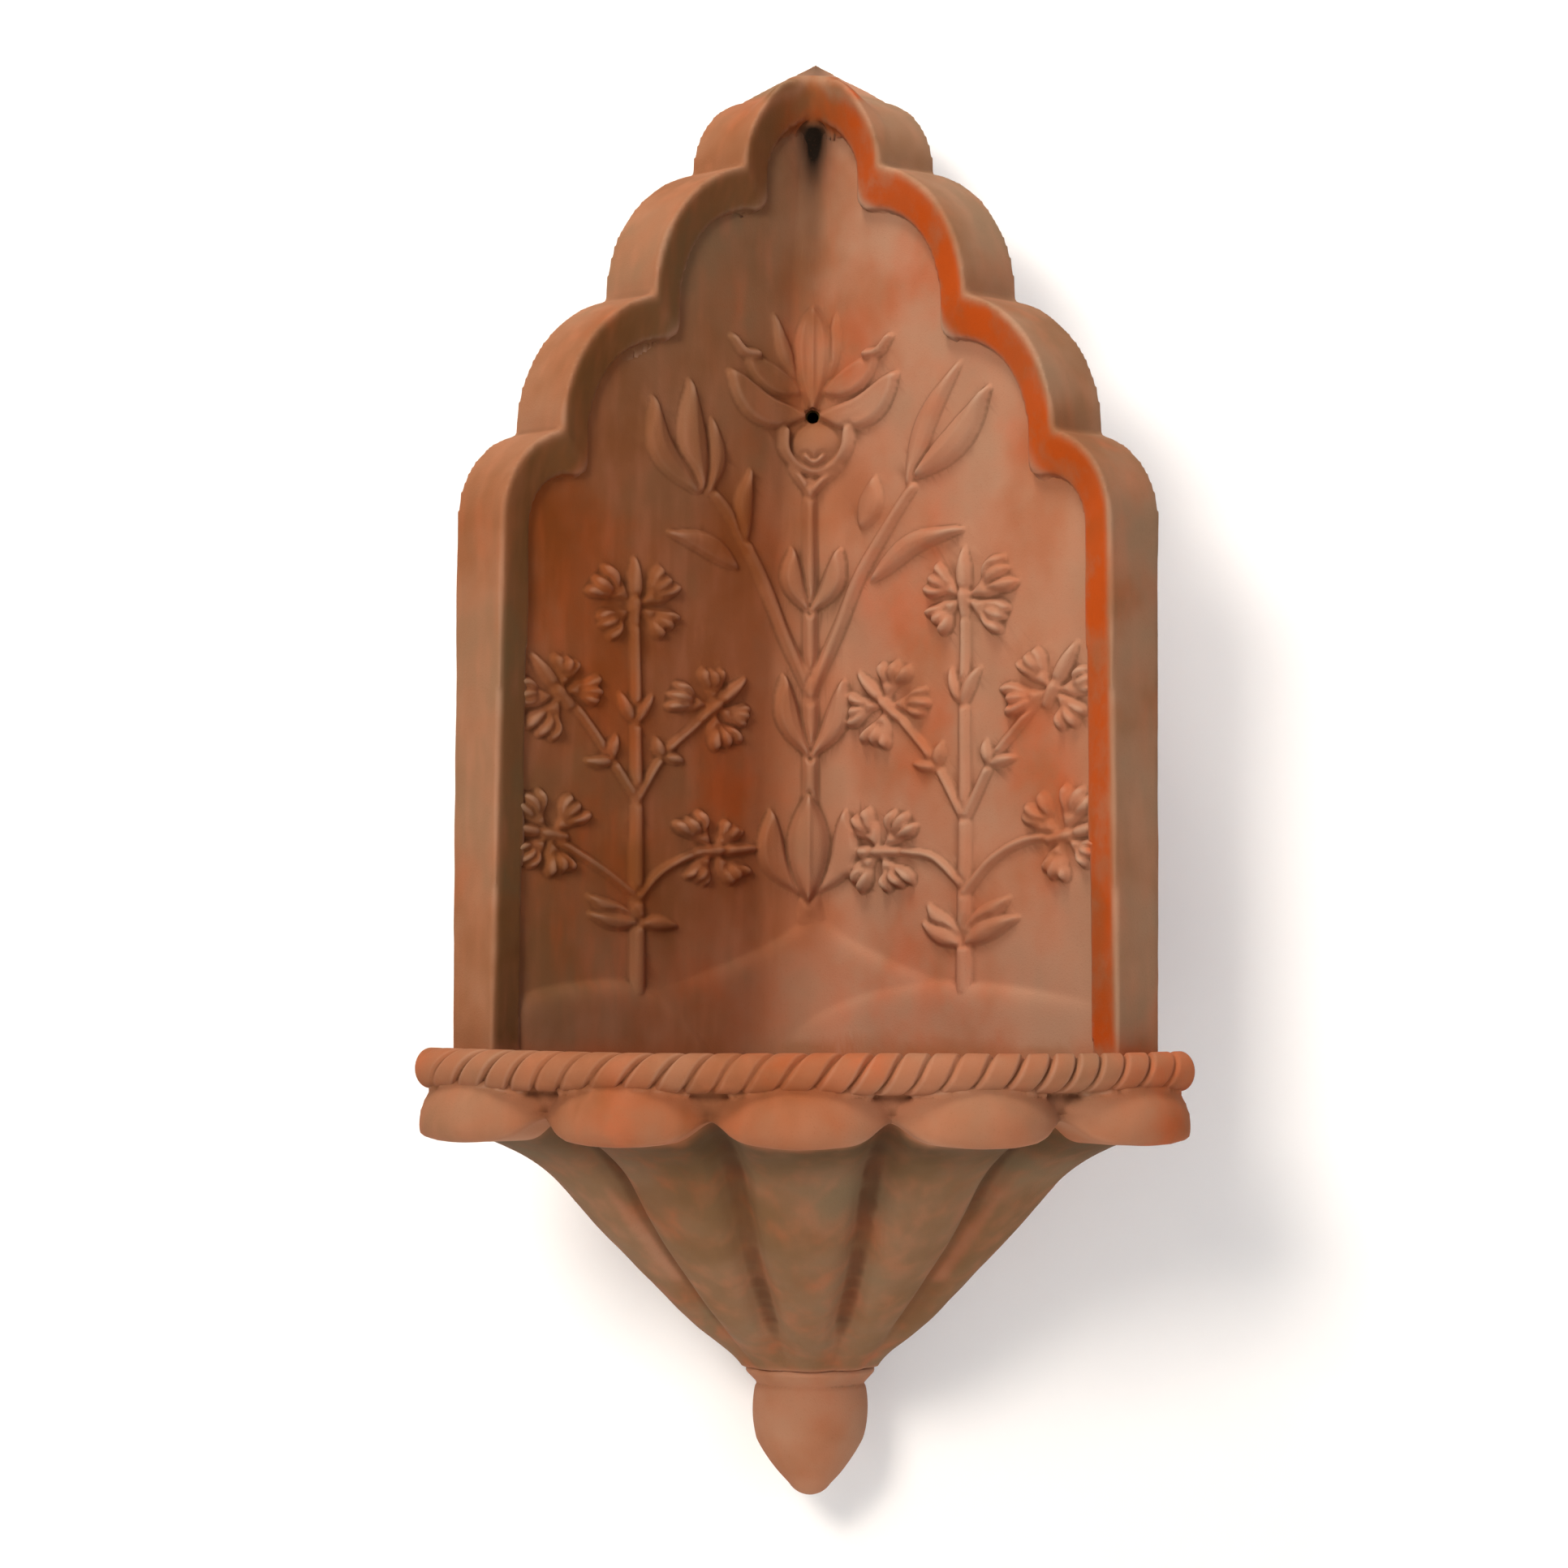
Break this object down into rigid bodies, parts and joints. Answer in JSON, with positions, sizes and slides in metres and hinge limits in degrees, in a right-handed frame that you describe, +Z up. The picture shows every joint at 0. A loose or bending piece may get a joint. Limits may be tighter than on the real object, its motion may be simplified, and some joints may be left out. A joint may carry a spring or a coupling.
{
  "type": "corner wall fountain",
  "caption": "Terracotta corner wall fountain: cusped arch niche with floral relief over a quarter-round bowl with rope rim, lobes, fluted corbel and bud finial, circulated by a small pump.",
  "frame": {"origin": "on the corner line of the two walls, level with the bed of the bowl on which the niche stands", "axes": "+Z up along the corner line, +Y into the corner, +X to the right as seen from the room; the walls run along (1,-1,0) and (-1,-1,0)"},
  "size_m": [0.4498, 0.324, 0.9],
  "materials": {
    "terracotta": "matte",
    "brass": "satin",
    "steel": "satin",
    "seal_rubber": "matte",
    "hose_rubber": "satin",
    "pump_plastic": "matte",
    "rotor_plastic": "satin",
    "magnet": "matte",
    "winding": "satin"
  },
  "bodies": {
    "fountain": {"niche": "terracotta", "basin": "terracotta", "finial": "terracotta", "bed_gasket": "seal_rubber", "locating_pins": "steel", "finial_stud": "steel", "finial_washer": "steel", "finial_nut": "steel", "spout_elbow": "brass", "spout_washer": "seal_rubber", "delivery_hose": "hose_rubber", "hose_clips": "steel", "pump_body": "pump_plastic", "pump_cover": "pump_plastic", "chamber_seal": "seal_rubber", "stator_core": "steel", "stator_coil": "winding", "rotor_shaft": "steel", "shaft_bushes": "seal_rubber", "suction_feet": "seal_rubber", "cable_gland": "seal_rubber", "right_hanger": "steel", "left_hanger": "steel", "hanger_screws": "steel", "hanger_inserts": "brass"},
    "rotor": {"impeller": "rotor_plastic", "rotor_magnet": "magnet"},
    "strainer": {"intake_strainer": "pump_plastic"},
    "dial": {"flow_dial": "rotor_plastic"}
  },
  "joints": [
    {"name": "impeller_spin", "type": "hinge", "parent": "fountain", "child": "rotor", "pos_m": [0, -0.113, -0.078], "axis": [1, 0, 0], "continuous": true},
    {"name": "strainer_slide", "type": "slide", "parent": "fountain", "child": "strainer", "axis": [-1, 0, 0], "range_m": [0, 0.018]},
    {"name": "dial_turn", "type": "hinge", "parent": "strainer", "child": "dial", "pos_m": [0, -0.108, -0.078], "axis": [1, 0, 0], "range_deg": [0, 90]}
  ]
}
